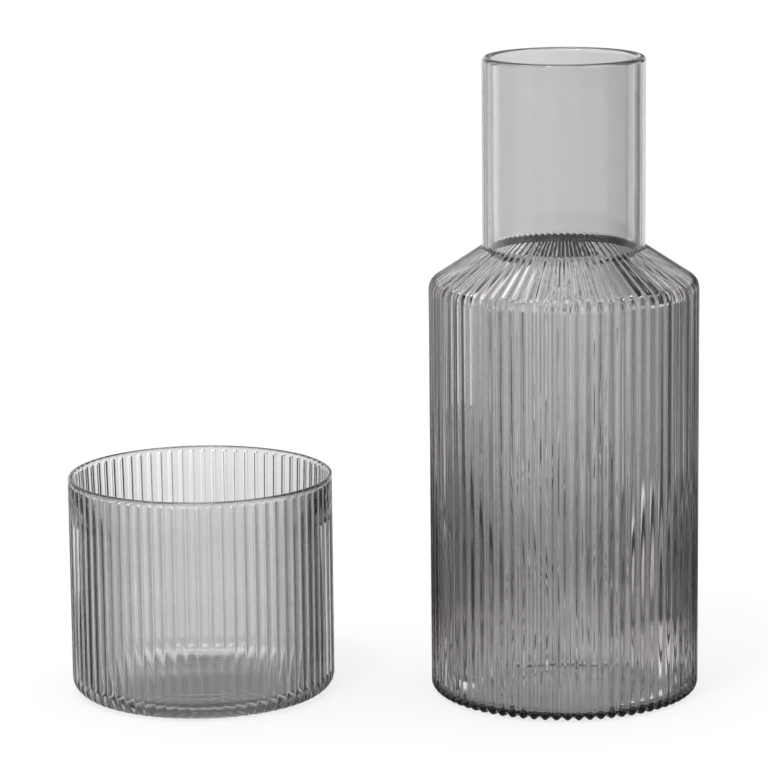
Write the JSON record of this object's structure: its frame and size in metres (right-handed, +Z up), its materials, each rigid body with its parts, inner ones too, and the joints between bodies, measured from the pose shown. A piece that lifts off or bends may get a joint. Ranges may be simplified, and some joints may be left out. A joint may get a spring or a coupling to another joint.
{
  "type": "bedside carafe with tumbler",
  "caption": "Smoke-grey reeded glass carafe with a straight plain neck, and a matching reeded tumbler that stands beside it or covers its neck.",
  "frame": {"origin": "centre of the carafe's foot, on the surface that both pieces stand on", "axes": "+Z up along the carafe's axis and out of its neck; the tumbler stands on the -X side; the picture looks along +Y"},
  "size_m": [0.1977, 0.0875, 0.2],
  "materials": {
    "carafe_glass": "clear smoke-grey glass, polished; reeded body, plain neck",
    "tumbler_glass": "clear smoke-grey glass, polished; reeded outside, smooth inside"
  },
  "bodies": {
    "carafe": {"carafe": "carafe_glass"},
    "tumbler": {"tumbler": "tumbler_glass"}
  },
  "joints": [
    {"name": "tumbler_lift", "type": "slide", "parent": "carafe", "child": "tumbler", "axis": [0, 0, 1], "range_m": [0, 0.22]}
  ]
}
